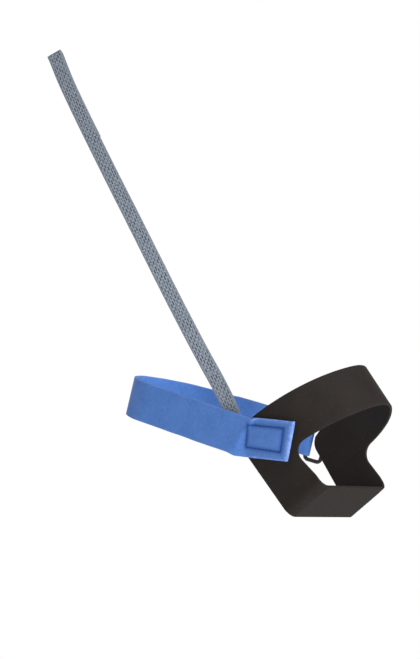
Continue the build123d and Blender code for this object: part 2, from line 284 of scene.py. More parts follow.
def new_finish(name, roughness=0.6, specular=0.5, metallic=0.0, sheen=0.0, sheen_roughness=0.5):
    """A material with its node tree and its shader."""
    made = bpy.data.materials.new(name)
    made.use_nodes = True
    tree = made.node_tree
    shader = tree.nodes["Principled BSDF"]
    shader.inputs["Roughness"].default_value = roughness
    shader.inputs["Specular IOR Level"].default_value = specular
    shader.inputs["Metallic"].default_value = metallic
    shader.inputs["Sheen Weight"].default_value = sheen
    shader.inputs["Sheen Roughness"].default_value = sheen_roughness
    return made, tree, shader


def dress(tree, shader, colour, roughness=None, height=None, depth=0.1):
    """Links a colour, a roughness and a relief, depth millimetres high, to the shader."""
    tree.links.new(colour, shader.inputs["Base Color"])
    if roughness is not None:
        tree.links.new(roughness, shader.inputs["Roughness"])
    if height is not None:
        relief = node(tree, "Bump", {"Height": height, "Distance": depth * MM, "Strength": 1.0})
        tree.links.new(relief.outputs[0], shader.inputs["Normal"])


def object_space(tree):
    return node(tree, "TexCoord").outputs["Object"]


def cloth_space(tree):
    """Lengthwise and crosswise place on the flat cloth, in metres."""
    flat = node(tree, "TexCoord").outputs["UV"]
    parts = node(tree, "SeparateXYZ", {0: flat})
    return flat, parts.outputs[0], parts.outputs[1]


def rubber_finish():
    """Black rubber, slightly warm and cloudy, with a fine grain and a little dust."""
    made, tree, shader = new_finish("cup rubber", specular=0.13)
    here = object_space(tree)
    cloud = fibre(tree, here, 45, 5, 0.6)
    grain = fibre(tree, here, 2600, 3)
    speck = fibre(tree, here, 750, 2)
    warm = blend_colours(tree, fit(tree, cloud, 0.3, 0.7), (0.0122, 0.0090, 0.0076, 1),
                         (0.0178, 0.0138, 0.0118, 1))
    dusty = blend_colours(tree, fit(tree, speck, 0.66, 0.78, 0, 0.35), warm, (0.075, 0.068, 0.060, 1))
    rough = fit(tree, cloud, 0.3, 0.7, 0.52, 0.68)
    dress(tree, shader, dusty, rough, calc(tree, "ADD", grain, cloud), 0.06)
    return made


def strap_finish():
    """Loop-faced tape: fine lengthwise wales under a soft pile, paler along its edges in the tab, with
    painted shade over the tab and its folded-under layer and a painted shadow along the box stitching.
    """
    made, tree, shader = new_finish("strap webbing", 0.85, 0.15, sheen=0.12, sheen_roughness=0.45)
    flat, along, across = cloth_space(tree)
    pile = fibre(tree, flat, 1500, 4, 0.65)
    tuft = fibre(tree, flat, 420, 3, 0.6)
    cloud = fibre(tree, flat, 70, 3)
    wander = calc(tree, "MULTIPLY", tuft, 0.0009)
    wales = ripple(tree, calc(tree, "ADD", across, wander), 0.0011)
    weft = ripple(tree, calc(tree, "ADD", along, wander), 0.0008)
    weave = calc(tree, "MULTIPLY", wales, weft)
    blue = blend_colours(tree, fit(tree, cloud, 0.3, 0.7), (0.060, 0.178, 0.520, 1),
                         (0.088, 0.225, 0.610, 1))
    tufted = blend_colours(tree, fit(tree, calc(tree, "ADD", pile, tuft), 0.75, 1.3, 0.0, 0.42), blue,
                           (0.165, 0.325, 0.76, 1))
    ribbed = blend_colours(tree, fit(tree, weave, -1, 1, 0.30, 0), tufted, (0.02, 0.065, 0.25, 1))
    rim = node(tree, "Attribute", attribute_name="rim").outputs["Fac"]
    seam = node(tree, "Attribute", attribute_name="seam").outputs["Fac"]
    pressed = node(tree, "Attribute", attribute_name="pressed").outputs["Fac"]
    # painted shade: the tab and the layer folded under it are darkened
    tab_shade = blend_colours(tree, calc(tree, "MULTIPLY", pressed, 0.45), ribbed, (0.045, 0.100, 0.27, 1))
    selvedge = fit(tree, calc(tree, "ABSOLUTE", across), 0.0112, 0.0124, 0, 0.12, smooth=True)
    worn = calc(tree, "MULTIPLY", rim, fit(tree, tuft, 0.35, 0.62, 0.12, 0.55))
    pale = blend_colours(tree, calc(tree, "MAXIMUM", worn, selvedge), tab_shade, (0.24, 0.34, 0.68, 1))
    # painted shadow: the cloth darkens in a band along the box stitching, as if shaded in the seam's groove
    seam_shadow = blend_colours(tree, calc(tree, "MULTIPLY", seam, 0.85), pale, (0.018, 0.060, 0.22, 1))
    height = calc(tree, "ADD", calc(tree, "MULTIPLY", weave, 0.25), calc(tree, "ADD", pile, tuft))
    dress(tree, shader, seam_shadow, None, height, 0.16)
    return made


def thread_finish(name, colour, dark):
    """Twisted sewing thread in two shades."""
    made, tree, shader = new_finish(name, 0.7, 0.15)
    here = object_space(tree)
    twist = fibre(tree, here, 2400, 2)
    colours = blend_colours(tree, fit(tree, twist, 0.35, 0.65), dark, colour)
    dress(tree, shader, colours, None, twist, 0.08)
    return made


def ribbon_finish():
    """Grey narrow weave with rows of short black conductive floats, staggered like a twill."""
    made, tree, shader = new_finish("ribbon weave", 0.7, 0.35, sheen=0.15)
    flat, along, across = cloth_space(tree)
    row_pitch, float_pitch = 0.00145, 0.0040
    waver = fibre(tree, flat, 260, 2)
    slanted = calc(tree, "ADD", across, calc(tree, "MULTIPLY", along, 0.06))
    rows = calc(tree, "DIVIDE", slanted, row_pitch)
    row = calc(tree, "FLOOR", rows)
    in_row = calc(tree, "FRACT", rows)
    shift = calc(tree, "ADD", calc(tree, "MULTIPLY", row, 0.42), calc(tree, "MULTIPLY", waver, 0.35))
    lengths = calc(tree, "ADD", calc(tree, "DIVIDE", along, float_pitch), shift)
    in_float = calc(tree, "FRACT", lengths)
    side_on = calc(tree, "ABSOLUTE", calc(tree, "SUBTRACT", in_row, 0.5))
    end_on = calc(tree, "ABSOLUTE", calc(tree, "SUBTRACT", in_float, 0.5))
    narrow = fit(tree, side_on, 0.18, 0.32, 1, 0, smooth=True)
    patchy = fit(tree, fibre(tree, flat, 330, 2), 0.38, 0.55, 0.45, 1.0)
    dash = calc(tree, "MULTIPLY", narrow, fit(tree, end_on, 0.30, 0.42, 1, 0, smooth=True))
    inside = fit(tree, calc(tree, "ABSOLUTE", across), 0.0036, 0.0041, 1, 0.1, smooth=True)
    dash = calc(tree, "MULTIPLY", dash, calc(tree, "MULTIPLY", patchy, inside))
    fleck = calc(tree, "MULTIPLY", narrow, fit(tree, end_on, 0.42, 0.48, 0, 1, smooth=True))
    yarn = ripple(tree, across, row_pitch / 3)
    pick = ripple(tree, along, 0.0007)
    fuzz = fibre(tree, flat, 900, 3)
    grey = blend_colours(tree, fit(tree, fuzz, 0.3, 0.7), (0.175, 0.212, 0.265, 1),
                         (0.27, 0.31, 0.37, 1))
    woven = blend_colours(tree, fit(tree, calc(tree, "MULTIPLY", yarn, pick), -1, 1, 0.22, 0), grey,
                          (0.09, 0.10, 0.13, 1))
    edged = blend_colours(tree, fit(tree, inside, 0.1, 1, 0.35, 0), woven, (0.11, 0.13, 0.16, 1))
    flecked = blend_colours(tree, calc(tree, "MULTIPLY", fleck, 0.22), edged, (0.62, 0.65, 0.68, 1))
    dashed = blend_colours(tree, calc(tree, "MULTIPLY", dash, 0.9), flecked, (0.020, 0.022, 0.030, 1))
    height = calc(tree, "ADD", calc(tree, "MULTIPLY", calc(tree, "ADD", yarn, pick), 0.25), dash)
    rough = fit(tree, dash, 0, 1, 0.75, 0.5)
    dress(tree, shader, dashed, rough, height, 0.12)
    return made


def plain_finish(name, light, dark, roughness, scale, depth, specular=0.5, metallic=0.0):
    """A moulded, drawn or fired surface: two shades and a fine relief."""
    made, tree, shader = new_finish(name, roughness, specular, metallic)
    here = object_space(tree)
    cloud = fibre(tree, here, scale / 8, 3)
    grain = fibre(tree, here, scale, 3)
    colours = blend_colours(tree, fit(tree, cloud, 0.3, 0.7), dark, light)
    rough = fit(tree, grain, 0.3, 0.7, roughness * 0.85, roughness * 1.15)
    dress(tree, shader, colours, rough, grain, depth)
    return made


# Rubber cup --------------------------------------------------------------------------------------

def outline_circle(z):
    """Centre and radius of the long side arc of the cup's outline at height z, and the angle at
    which the tight back arc takes over."""
    half = side_face(z)
    back_centre = BACK_RADIUS - BACK_END
    run = SIDE_END - back_centre
    radius = (run ** 2 + half ** 2 - BACK_RADIUS ** 2) / (2 * (half - BACK_RADIUS))
    join = atan2(radius - half, back_centre - SIDE_END)
    return half - radius, radius, join


def half_width(x, z):
    """Outside of the cup at x and height z, ahead of the tight back arc."""
    if x >= SIDE_END:
        return side_face(z)
    centre, radius, _ = outline_circle(z)
    return centre + sqrt(radius ** 2 - (x - SIDE_END) ** 2)


def round_back(share, z, start_x):
    """Point of the outline from start_x, at share 0, to the middle of the back, at share 1."""
    centre, radius, join = outline_circle(z)
    back_centre = BACK_RADIUS - BACK_END
    start = acos((start_x - SIDE_END) / radius)
    long_arc = radius * (join - start)
    back_arc = BACK_RADIUS * (pi - join)
    run = share * (long_arc + back_arc)
    if run < long_arc:
        angle = start + run / radius
        return Vector((SIDE_END + radius * cos(angle), centre + radius * sin(angle), z))
    angle = join + (run - long_arc) / BACK_RADIUS
    return Vector((back_centre + BACK_RADIUS * cos(angle), BACK_RADIUS * sin(angle), z))


def rubber_cup(finish):
    """The cup as one skin: the near half's front band, rear band, and wall with sole, mirrored."""
    front = BAND_WIDTH / 2
    columns, back_columns, rows = 26, 64, 16

    def top_at(x):
        return TOP_HEIGHT + BACK_SLOPE * (x + 10)

    def bottom_at(x):
        return top_at(x) - BAND_WIDTH

    window = Vector((-front + WALL_TAPER, bottom_at(-front + WALL_TAPER)))
    down = (Vector((-front, FOLD_RADIUS)) - window).normalized()
    back = Vector((-1, -BACK_SLOPE)).normalized()
    half_turn = down.angle(back) / 2
    window_centre = window + (down + back).normalized() * WINDOW_RADIUS / sin(half_turn)
    window_low = window + down * WINDOW_RADIUS / tan(half_turn)
    window_high = window + back * WINDOW_RADIUS / tan(half_turn)

    def rear_edge(z):
        """Rear edge of the side wall: straight and leaning, then round into the window's top."""
        if z < FOLD_RADIUS:
            return -front
        if z < window_low.y:
            return -front + (window_low.x + front) * (z - FOLD_RADIUS) / (window_low.y - FOLD_RADIUS)
        off = min(abs(z - window_centre.y), WINDOW_RADIUS)
        return window_centre.x + sqrt(WINDOW_RADIUS ** 2 - off ** 2)

    def band_front(i, j):
        share = j / rows
        below = (1 - share) * BAND_WIDTH
        front_x = front
        if below < CORNER_RADIUS:
            front_x -= CORNER_RADIUS - sqrt(CORNER_RADIUS ** 2 - (CORNER_RADIUS - below) ** 2)
        x = front_x + (window_high.x - front_x) * i / columns
        z = bottom_at(x) + BAND_WIDTH * share
        return Vector((x, half_width(x, z), z))

    def band_back(i, j):
        share = i / back_columns
        guess = round_back(share, TOP_HEIGHT - BAND_WIDTH * (1 - j / rows), window_high.x)
        z = bottom_at(guess.x) + BAND_WIDTH * j / rows
        return round_back(share, z, window_high.x)

    fold_y = SOLE_HALF - FOLD_RADIUS * (1 - sin(lean)) / cos(lean)
    fold_z = FOLD_RADIUS - RUBBER
    wall_end = fold_z - FOLD_RADIUS * sin(lean)
    wall_rows, fold_rows, sole_rows = 26, 12, 20
    fold_turn = pi / 2 - lean

    def wall_and_sole(i, j):
        if j <= wall_rows:
            share = (j / wall_rows) ** 1.6    # rows lie closer together near the window's top
            rear_z = window_high.y + (wall_end - window_high.y) * share
            front_z = bottom_at(front) + (wall_end - bottom_at(front)) * share
            x = front + (rear_edge(rear_z) - front) * i / columns
            z = front_z + (rear_z - front_z) * i / columns
            return Vector((x, half_width(x, z), z))
        x = front - BAND_WIDTH * i / columns
        inwards = half_width(x, wall_end) - side_face(wall_end)
        if j <= wall_rows + fold_rows:
            angle = -lean - fold_turn * (j - wall_rows) / fold_rows
            return Vector((x, fold_y + FOLD_RADIUS * cos(angle) + inwards,
                           fold_z + FOLD_RADIUS * sin(angle)))
        share = (j - wall_rows - fold_rows) / sole_rows
        return Vector((x, (fold_y + inwards) * (1 - share), -RUBBER))

    def unrolled(i, j):
        return (float(i), float(j))

    work = bmesh.new()
    lay_grid(work, columns, rows, band_front, unrolled)
    lay_grid(work, back_columns, rows, band_back, unrolled)
    lay_grid(work, columns, wall_rows + fold_rows + sole_rows, wall_and_sole, unrolled)
    bmesh.ops.remove_doubles(work, verts=work.verts, dist=WELD * MM)
    whole = work.verts[:] + work.edges[:] + work.faces[:]
    bmesh.ops.mirror(work, geom=whole, axis="Y", merge_dist=WELD * MM)
    face_out(work, out_y, key=lambda centre: centre.y)
    cup = finish_piece("heel_cup_rubber", work, finish, "cup")
    give_thickness(cup, RUBBER, -1.0)
    round_edges(cup, 0.35, 3)
    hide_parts("heel_cup")


# Strap -------------------------------------------------------------------------------------------

def tangent_angle(half_gap):
    """Angle round the front arc at which a straight run half_gap from the middle meets it."""
    return atan2(half_gap, -FRONT_REACH) - acos(FRONT_RADIUS / hypot(FRONT_REACH, half_gap))


def arc_point(angle):
    return Vector((FRONT_REACH + FRONT_RADIUS * cos(angle), FRONT_RADIUS * sin(angle), 0))


near_angle, far_angle = tangent_angle(NEAR_GAP), tangent_angle(FAR_GAP)
near_tangent = arc_point(near_angle)
far_tangent = arc_point(-far_angle)
far_direction = (far_tangent - Vector((0, -FAR_GAP, 0))).normalized()
far_normal = Vector((far_direction.y, -far_direction.x, 0))


def strap_point(flat_point, up=0.0):
    """A point of the strap's own plane, up millimetres towards the upper edge."""
    return ANCHOR + strap_along * flat_point.x + out_y * flat_point.y + strap_up * up


def far_run(along, outside):
    """In the strap's plane: along the far run from the ring's lower bar, and outside its bars."""
    return Vector((0, -FAR_GAP, 0)) + far_direction * along + far_normal * (outside + WRAP_RADIUS)


bar_middle = strap_point(far_run(RING_PITCH, 0))
lower_bar = strap_point(far_run(0, 0))
run_along = (bar_middle - lower_bar).normalized()
run_out = (strap_point(far_run(0, 1)) - lower_bar).normalized()

near_length = hypot(near_tangent.x, NEAR_GAP - near_tangent.y)
arc_length = FRONT_RADIUS * (near_angle + far_angle)
run_end = far_run(RING_PITCH, -WRAP_RADIUS)
far_length = (far_tangent - run_end).length
strap_length = near_length + arc_length + far_length + WRAP_RADIUS * WRAP_TURN


def strap_line(run):
    """The strap's middle line in its own plane, run millimetres from where it leaves the tab."""
    start = Vector((0, NEAR_GAP, 0))
    if run < near_length:
        return start + (near_tangent - start) * (run / near_length)
    run -= near_length
    if run < arc_length:
        return arc_point(near_angle - run / FRONT_RADIUS)
    run -= arc_length
    if run < far_length:
        return far_tangent + (run_end - far_tangent) * (run / far_length)
    return wrap_line((run - far_length) / WRAP_RADIUS)


def wrap_line(turn):
    """Round the ring's bar, turn radians from the inner run."""
    return far_run(RING_PITCH - WRAP_RADIUS * sin(turn), -WRAP_RADIUS * cos(turn))



def off_line(point, a, b):
    """Distance from a point to the straight stretch between a and b."""
    stretch = Vector(b) - Vector(a)
    share = min(max((point - Vector(a)).dot(stretch) / stretch.length_squared, 0), 1)
    return (point - Vector(a) - stretch * share).length


def off_box(here):
    """Distance from a point of the tab to the box stitching."""
    return min(off_line(here, BOX[k], BOX[(k + 1) % 4]) for k in range(4))


def tab_level(x, up):
    """Height of the middle of the outer layer above the rubber: eased down at its edges, lifted
    over the resistor and drawn in along the stitching."""
    seam = off_box(Vector((x, up)))
    edge = ease((abs(up) - 8.8) / 3.4) * ease((-x - 7) / 4)
    resistor = ease(1 - abs(up) / 5.5) * ease((x + 28) / 6) * ease((-6 - x) / 6)
    return OUTER_LEVEL - 0.5 * edge + 0.55 * resistor - 0.38 * exp(-(seam / 0.9) ** 2)


def tab_point(x, up, level):
    return tab_origin + tab_along * x + tab_up * up + tab_out * level


def outer_cloth(x, up):
    """Middle of the outer layer: flat on the tab, then over the slanting crease into the strap."""
    drifted = up + edge_drift(x, up)
    if x > 20:
        return strap_point(strap_line(x), drifted)
    on_tab = tab_point(x, drifted, tab_level(x, up))
    share = ease((x - KINK_SKEW * up + KINK_HALF) / (2 * KINK_HALF))
    return on_tab.lerp(strap_point(strap_line(x), drifted), share)


def strap_stations():
    """Stops along the cloth from its folded-under end: what part each lies in, and where."""
    stops = [("under", 0.0)] + [("under", s) for s in spread(0, 1, 16)]
    stops += [("turn", s) for s in spread(0, 1, 8)]
    stops += [("tab", s) for s in spread(0, 1, 40)]
    stops += [("run", s) for s in spread(-8, 9, 26)]
    stops += [("run", s) for s in spread(9, near_length, 30)]
    stops += [("run", s) for s in spread(near_length, near_length + arc_length, 56)]
    wrap_start = strap_length - WRAP_RADIUS * WRAP_TURN
    stops += [("run", s) for s in spread(near_length + arc_length, wrap_start, 34)]
    stops += [("run", s) for s in spread(wrap_start, strap_length, 10)]
    return stops


turn_radius = (OUTER_LEVEL - 0.3 - INNER_LEVEL) / 2
under_length = UNDER_START - FOLD_AT
turn_length = pi * turn_radius
cloth_start = under_length + turn_length - FOLD_AT    # cloth's length up to where the strap swings


def edge_drift(run, up):
    """Slow wander of a cut or woven edge, so that it isn't dead straight."""
    return 0.22 * (up / 12.5) * noise.noise(Vector((run / 14, 3.1 if up > 0 else 8.4, 0)))


def strap_cloth(finish):
    """One cloth: folded-under end, tab, run over the instep and most of the turn round the bar."""
    rows = 36
    stops = strap_stations()
    columns = len(stops) - 1

    def cloth_place(stop, up):
        part, share = stop
        fold_x = FOLD_AT - FOLD_SKEW * up
        if part == "under":
            x = UNDER_START + (fold_x - UNDER_START) * share
            return tab_point(x, up * 0.985, INNER_LEVEL), under_length * share
        end_level = tab_level(fold_x, up)
        radius = (end_level - INNER_LEVEL) / 2
        if part == "turn":
            angle = pi * share
            x = fold_x - radius * sin(angle)
            level = INNER_LEVEL + radius * (1 - cos(angle))
            return tab_point(x, up, level), under_length + turn_length * share
        x = share if part == "run" else fold_x + (-8 - fold_x) * share
        flat_x = cloth_start + (share if part == "run" else FOLD_AT + (-8 - FOLD_AT) * share)
        return outer_cloth(x, up), flat_x

    def place(i, j):
        return cloth_place(stops[i], STRAP_WIDTH * (j / rows - 0.5))[0]

    def flat(i, j):
        up = STRAP_WIDTH * (j / rows - 0.5)
        return cloth_place(stops[i], up)[1], up

    def on_tab(i, j):
        """Place on the outer face of the tab, or None elsewhere."""
        part, share = stops[i]
        up = STRAP_WIDTH * (j / rows - 0.5)
        if part in ("under", "turn"):
            return None
        fold_x = FOLD_AT - FOLD_SKEW * up
        return Vector((share if part == "run" else fold_x + (-8 - fold_x) * share, up))

    # nearness to the box stitching, used for the painted shadow along it
    def seam_shadow_mark(i, j):
        here = on_tab(i, j)
        return exp(-(off_box(here) / 1.5) ** 2) if here else 0.0

    # 1 over the tab and the folded-under layer, 0 on the strap beyond it: where the painted shade goes
    def tab_shade_mark(i, j):
        here = on_tab(i, j)
        return ease((2 - here.x) / 8) if here else 1.0

    def rim_mark(i, j):
        here = on_tab(i, j)
        if not here:
            return 1.0 if stops[i][0] == "turn" else 0.0
        into = min(here.x - (FOLD_AT - FOLD_SKEW * here.y), STRAP_WIDTH / 2 - abs(here.y))
        return ease(1.2 - into / 1.5) * ease((2 - here.x) / 12)

    work = bmesh.new()
    lay_grid(work, columns, rows, place, flat, {"seam": seam_shadow_mark, "rim": rim_mark,
                                                   "pressed": tab_shade_mark})
    flat_layer = work.loops.layers.uv.verify()
    resistor_gap = [face for face in work.faces
                    if all(abs(loop[flat_layer].uv.y) < 1.5 * MM for loop in face.loops)
                    and all(loop[flat_layer].uv.x < (under_length - 2) * MM for loop in face.loops)]
    bmesh.ops.delete(work, geom=resistor_gap, context="FACES")
    face_out(work, out_y, key=lambda centre: centre.y)
    cloth = finish_piece("strap_cloth", work, finish)
    pressed = [0.0] * len(cloth.data.vertices)
    for loop in cloth.data.loops:
        along = cloth.data.uv_layers[0].data[loop.index].uv.x / MM
        pressed[loop.vertex_index] = ease((along - cloth_start + 4) / 10)
    weigh(cloth, "full thickness", lambda vertex: pressed[vertex.index])
    give_thickness(cloth, STRAP, 0.0, "full thickness", LAYER / STRAP)
    round_edges(cloth, 0.45, 3)
    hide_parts("tab_inner_layer", "tab_outer_layer", "instep_strap")
    bend = strap_along * cos(radians(20)) - out_y * sin(radians(20))
    start = strap_point(strap_line(-3))
    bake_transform(cloth, "cup", "strap", start=start * MM, end=(start + bend * 14) * MM)


def tail_line(run):
    """Middle line of the tail, from the strap's end on the bar to its tip, with its lift."""
    wrapped = WRAP_RADIUS * (pi - WRAP_TURN)
    if run < wrapped:
        return wrap_line(WRAP_TURN + run / WRAP_RADIUS)
    along = run - wrapped
    lift = TAIL_LIFT + (WRAP_RADIUS - TAIL_LIFT) * (1 - ease(along / 13))
    return far_run(RING_PITCH + along, lift)


def strap_tail(finish):
    """The strap's free end: the rest of the turn round the bar, then flat to a rounded tip."""
    rows = 32
    wrapped = WRAP_RADIUS * (pi - WRAP_TURN)
    length = wrapped + TAIL_END - RING_PITCH
    stops = [0.0] + spread(0, wrapped, 2) + spread(wrapped, 16, 14) + spread(16, length - TIP_RADIUS, 26)
    stops += [length - TIP_RADIUS * (1 - sin(pi / 2 * share)) for share in spread(0, 1, 10)]

    def half_at(run):
        into_tip = max(run - (length - TIP_RADIUS), 0)
        return STRAP_WIDTH / 2 - TIP_RADIUS + sqrt(TIP_RADIUS ** 2 - into_tip ** 2)

    def place(i, j):
        up = 2 * half_at(stops[i]) * (j / rows - 0.5)
        return strap_point(tail_line(stops[i]), up + edge_drift(stops[i] + 40, up))

    def flat(i, j):
        return cloth_start + strap_length + stops[i], 2 * half_at(stops[i]) * (j / rows - 0.5)

    work = bmesh.new()
    lay_grid(work, len(stops) - 1, rows, place, flat)
    face_out(work, run_out, key=lambda centre: centre.dot(run_out) + centre.dot(run_along) * 0.1)
    tail = finish_piece("strap_tail_cloth", work, finish, "tail")
    give_thickness(tail, STRAP)
    round_edges(tail, 0.45, 3)
    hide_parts("strap_tail")


# Stitching ---------------------------------------------------------------------------------------

def stitch(work, middle, along, out, length, radius):
    """One stitch: a short rounded length of thread lying on the cloth."""
    along = along.normalized()
    side = out.cross(along).normalized()
    up = along.cross(side)
    axes = Matrix((side * radius, up * radius * 0.8, along * length / 2)).transposed().to_4x4()
    axes.translation = middle
    axes = Matrix.Scale(MM, 4) @ axes
    bmesh.ops.create_uvsphere(work, u_segments=8, v_segments=6, radius=1, matrix=axes)


def stitched_outline(name, corners, at, out, finish, body, length=2.25, radius=0.36):
    """Stitches round a closed outline; at(x, y) is the point on the cloth."""
    work = bmesh.new()
    for k, corner in enumerate(corners):
        a, b = Vector(corner), Vector(corners[(k + 1) % len(corners)])
        count = max(2, round((b - a).length / STITCH_PITCH))
        for step in range(count):
            centre = a.lerp(b, (step + 0.5) / count)
            ahead = a.lerp(b, (step + 0.6) / count)
            stitch(work, at(*centre), at(*ahead) - at(*centre), out, length, radius)
    return finish_piece(name, work, finish, body)


def on_outer_cloth(x, up):
    """Just above the tab's outer layer."""
    return outer_cloth(x, up) + tab_out * (LAYER / 2 + 0.04)


def on_keeper(x, up):
    """Just above the keeper's upper layer."""
    return far_origin + far_along * x + far_up * up + far_out * (2 * LAYER + 0.05)


def on_tail(x, up):
    """Just above the tail, over the hook patch."""
    return strap_point(far_run(PATCH_AT + x, TAIL_LIFT + STRAP / 2 + 0.05), up)


# Ring keeper -------------------------------------------------------------------------------------

def ring_keeper(finish):
    """A short webbing strip folded round the ring's lower bar, both ends sewn flat to the cup."""
    bar = lower_bar - far_origin
    bar_x, bar_z = bar.dot(far_along), bar.dot(far_out)
    base, top = LAYER / 2, LAYER * 1.5
    radius = bar_z - base
    stops = [(x, base) for x in [-KEEPER_LENGTH] + spread(-KEEPER_LENGTH, bar_x, 26)]
    stops += [(bar_x + 0.4 * sin(a) + radius * sin(a), bar_z - radius * cos(a))
              for a in spread(0, pi, 18)]
    for share in spread(0, 1, 16):
        x = bar_x + (KEEPER_FLAT - bar_x) * share
        stops.append((x, bar_z + radius + (top - bar_z - radius) * ease(share * 0.92 + 0.04 * share)))
    stops += [(x, top) for x in spread(KEEPER_FLAT, -KEEPER_LENGTH, 14)]
    rows = 16
    reached = [0.0]
    for a, b in zip(stops, stops[1:]):
        reached.append(reached[-1] + hypot(b[0] - a[0], b[1] - a[1]))

    def place(i, j):
        x, level = stops[i]
        side = KEEPER_WIDTH * (j / rows - 0.5)
        return far_origin + far_along * x + far_up * side + far_out * level

    def flat(i, j):
        return reached[i], KEEPER_WIDTH * (j / rows - 0.5)

    work = bmesh.new()
    lay_grid(work, len(stops) - 1, rows, place, flat)
    face_out(work, far_out, key=lambda centre: centre.dot(far_out))
    keeper = finish_piece("ring_keeper_webbing", work, finish, "cup")
    give_thickness(keeper, LAYER)
    round_edges(keeper, 0.35, 3)
    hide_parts("ring_keeper")


# Hook patch --------------------------------------------------------------------------------------

def hook_patch(finish):
    """Hook tape under the tail: a thin backing full of small bent hooks."""
    under = TAIL_LIFT - STRAP / 2
    start = strap_point(far_run(PATCH_AT, under))
    patch_axes = Matrix((run_along, strap_up, -run_out)).transposed().to_4x4()

    def at(x, y, level):
        return start + run_along * x + strap_up * y - run_out * level

    work = bmesh.new()
    bmesh.ops.create_cube(work, size=1)
    for corner in work.verts:
        corner.co = Vector((corner.co.x * PATCH_LENGTH, corner.co.y * PATCH_WIDTH,
                            corner.co.z * PATCH_BACKING))
    upright = [edge for edge in work.edges if abs(edge.verts[0].co.z - edge.verts[1].co.z) > 0.1]
    bmesh.ops.bevel(work, geom=upright, offset=PATCH_CORNER, segments=8, affect="EDGES", profile=0.5,
                    material=-1)
    for corner in work.verts:
        corner.co = at(corner.co.x + PATCH_LENGTH / 2, corner.co.y, corner.co.z + PATCH_BACKING / 2) * MM
    margin = 1.4
    for row in range(int((PATCH_WIDTH - 2) / HOOK_PITCH)):
        for column in range(int((PATCH_LENGTH - 2) / HOOK_PITCH)):
            x = margin + column * HOOK_PITCH + (row % 2) * HOOK_PITCH / 2
            y = -PATCH_WIDTH / 2 + margin + row * HOOK_PITCH
            from_end = min(x, PATCH_LENGTH - x)
            if from_end < PATCH_CORNER and abs(y) > PATCH_WIDTH / 2 - PATCH_CORNER:
                continue
            lean_to = 1 if row % 2 else -1
            patch_axes.translation = at(x, y, PATCH_BACKING)
            foot = bmesh.ops.create_grid(work, x_segments=1, y_segments=1, size=HOOK_HALF,
                                         matrix=Matrix.Scale(MM, 4) @ patch_axes)["verts"]
            base = foot[0].link_faces[0]
            raised = bmesh.ops.extrude_face_region(work, geom=[base])["geom"]
            stalk = [item for item in raised if isinstance(item, bmesh.types.BMVert)]
            bmesh.ops.translate(work, verts=stalk, vec=-run_out * HOOK_STALK * MM)
            tip = [item for item in raised if isinstance(item, bmesh.types.BMFace)]
            bend_centre = at(x + lean_to * HOOK_REACH, y, PATCH_BACKING + HOOK_STALK) * MM
            bmesh.ops.spin(work, geom=tip, cent=bend_centre, axis=strap_up, dvec=(0, 0, 0), steps=4,
                           angle=-lean_to * radians(150), use_merge=False, use_duplicate=False)
    bmesh.ops.remove_doubles(work, verts=work.verts, dist=0.005 * MM)
    bmesh.ops.recalc_face_normals(work, faces=work.faces)
    patch = finish_piece("hook_patch_tape", work, finish, "tail")
    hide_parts("hook_patch")


# Ribbon ------------------------------------------------------------------------------------------

under_tab = [Vector((10.3, side_face(46), 46)) + tab_out * 1.55,
             Vector((9.9, side_face(52), 52)) + tab_out * 1.55,
             Vector((9.6, side_face(58), 58)) + tab_out * 1.5]
up_leg = [Vector(point) for point in
          [(9.2, 46.8, 65), (8.6, 44.3, 73), (7.9, 43.2, 81), (7.3, 43, 88), (6.7, 42.6, 98),
           (5.9, 42.5, 114), (4.4, 43.2, 131), (1.3, 44.6, 160), (-2.2, 46.2, 188),
           (-5.7, 47.6, 216), (-9.1, 48.8, 246), (-12.5, 49.7, 276), (-15.6, 49.8, 305),
           (-18.4, 49.1, 331)]]
ribbon_top = HINGE + ribbon_up * (RIBBON_RISE - 2) + out_y * 5.0
ribbon_knots = under_tab + up_leg + [ribbon_top]


def through(knots, share):
    """Smooth line through the knots, share 0 at the first and 1 at the last."""
    place = share * (len(knots) - 1)
    k = min(int(floor(place)), len(knots) - 2)
    t = place - k
    a, b = knots[k], knots[k + 1]
    before = knots[k - 1] if k else a * 2 - b
    after = knots[k + 2] if k + 2 < len(knots) else b * 2 - a
    slope_a, slope_b = (b - before) / 2, (after - a) / 2
    return (a * (2 * t ** 3 - 3 * t ** 2 + 1) + slope_a * (t ** 3 - 2 * t ** 2 + t)
            + b * (3 * t ** 2 - 2 * t ** 3) + slope_b * (t ** 3 - t ** 2))


def ribbon_width_way(point):
    """The ribbon's crosswise direction: square to the leg's side, turned RIBBON_TWIST about it."""
    turn = RIBBON_TWIST * ease((point.z - 62) / 36)
    return Matrix.Rotation(radians(turn), 3, "Z") @ ribbon_across


def ribbon_strip(name, line, stops, first_run, finish, body=None):
    """Narrow woven strip along line(stop), its width kept square to its length."""
    rows = 8
    middles = [line(stop) for stop in stops]
    runs = [first_run]
    for a, b in zip(middles, middles[1:]):
        runs.append(runs[-1] + (b - a).length)

    def place(i, j):
        ahead = middles[min(i + 1, len(middles) - 1)] - middles[max(i - 1, 0)]
        ahead.normalize()
        wide = ribbon_width_way(middles[i])
        wide = (wide - ahead * wide.dot(ahead)).normalized()
        side = RIBBON_WIDTH * (j / rows - 0.5)
        return middles[i] + wide * (side + 0.6 * edge_drift(runs[i], side))

    def flat(i, j):
        return runs[i], RIBBON_WIDTH * (j / rows - 0.5)

    work = bmesh.new()
    lay_grid(work, len(stops) - 1, rows, place, flat)
    face_out(work, out_y, key=lambda centre: centre.y)
    strip = finish_piece(name, work, finish, body)
    give_thickness(strip, RIBBON)
    round_edges(strip, 0.2, 2)
    return strip, runs[-1]


